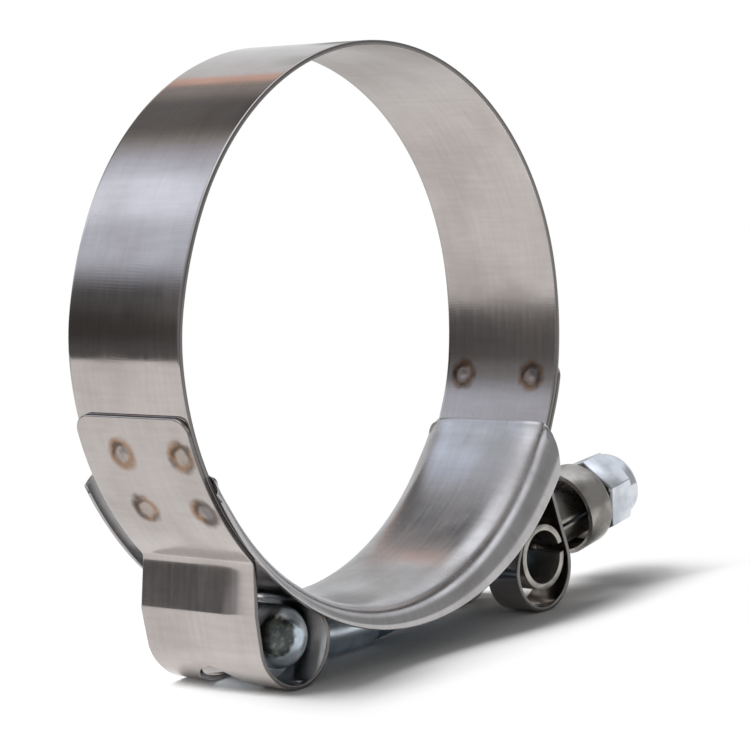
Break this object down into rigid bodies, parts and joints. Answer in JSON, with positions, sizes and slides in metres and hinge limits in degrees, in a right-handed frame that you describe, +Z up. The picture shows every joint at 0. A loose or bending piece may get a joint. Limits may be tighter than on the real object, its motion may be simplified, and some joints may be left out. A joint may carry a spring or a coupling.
{
  "type": "t bolt clamp",
  "caption": "T bolt hose clamp: steel band with folded loops, inner bridge, T-headed bolt, barrel trunnion and hex lock nut.",
  "frame": {"origin": "centre of the bore that holds the hose, halfway across the band", "axes": "+Y along the bore, away from the pictured front; +Z up, with the clamp standing on its two loops; +X from the T-headed end to the nut"},
  "size_m": [0.0946, 0.0232, 0.0778],
  "materials": {
    "band_steel": "bright rolled stainless strip with faint scratches",
    "bridge_steel": "brushed and pressed stainless sheet",
    "bolt_zinc": "bluish zinc plate",
    "trunnion_steel": "dull rolled sheet",
    "collar_steel": "dull drawn sheet",
    "nut_zinc": "bright zinc plate",
    "nylon": "natural nylon"
  },
  "bodies": {
    "band": {"band": "band_steel"},
    "bridge": {"bridge": "bridge_steel"},
    "t_bolt": {"t_bolt": "bolt_zinc"},
    "trunnion": {"trunnion": "trunnion_steel", "collar": "collar_steel"},
    "nut": {"lock_nut": "nut_zinc", "nylon_insert": "nylon"}
  },
  "joints": [
    {"name": "bolt_swing", "type": "hinge", "parent": "band", "child": "t_bolt", "pos_m": [-0.01885, 0, -0.03627], "axis": [0, 1, 0], "range_deg": [0, 11.25]},
    {"name": "barrel_slide", "type": "slide", "parent": "t_bolt", "child": "trunnion", "axis": [-0.9863, 0, -0.165], "range_m": [0, 0.016]},
    {"name": "nut_turn", "type": "hinge", "parent": "trunnion", "child": "nut", "pos_m": [0.05356, 0, -0.03077], "axis": [-0.9863, 0, -0.165], "range_deg": [0, 5760]},
    {"name": "band_close", "type": "hinge", "parent": "band", "child": "bridge", "pos_m": [0, 0, 0], "axis": [0, 1, 0], "range_deg": [0, 24.13], "deforming": ["band"]}
  ],
  "couplings": [
    {"joint": "nut_turn", "follows": "barrel_slide", "rad_per_m": 6283.2},
    {"joint": "bolt_swing", "follows": "barrel_slide", "rad_per_m": 12.257},
    {"joint": "band_close", "follows": "barrel_slide", "rad_per_m": 26.312}
  ]
}
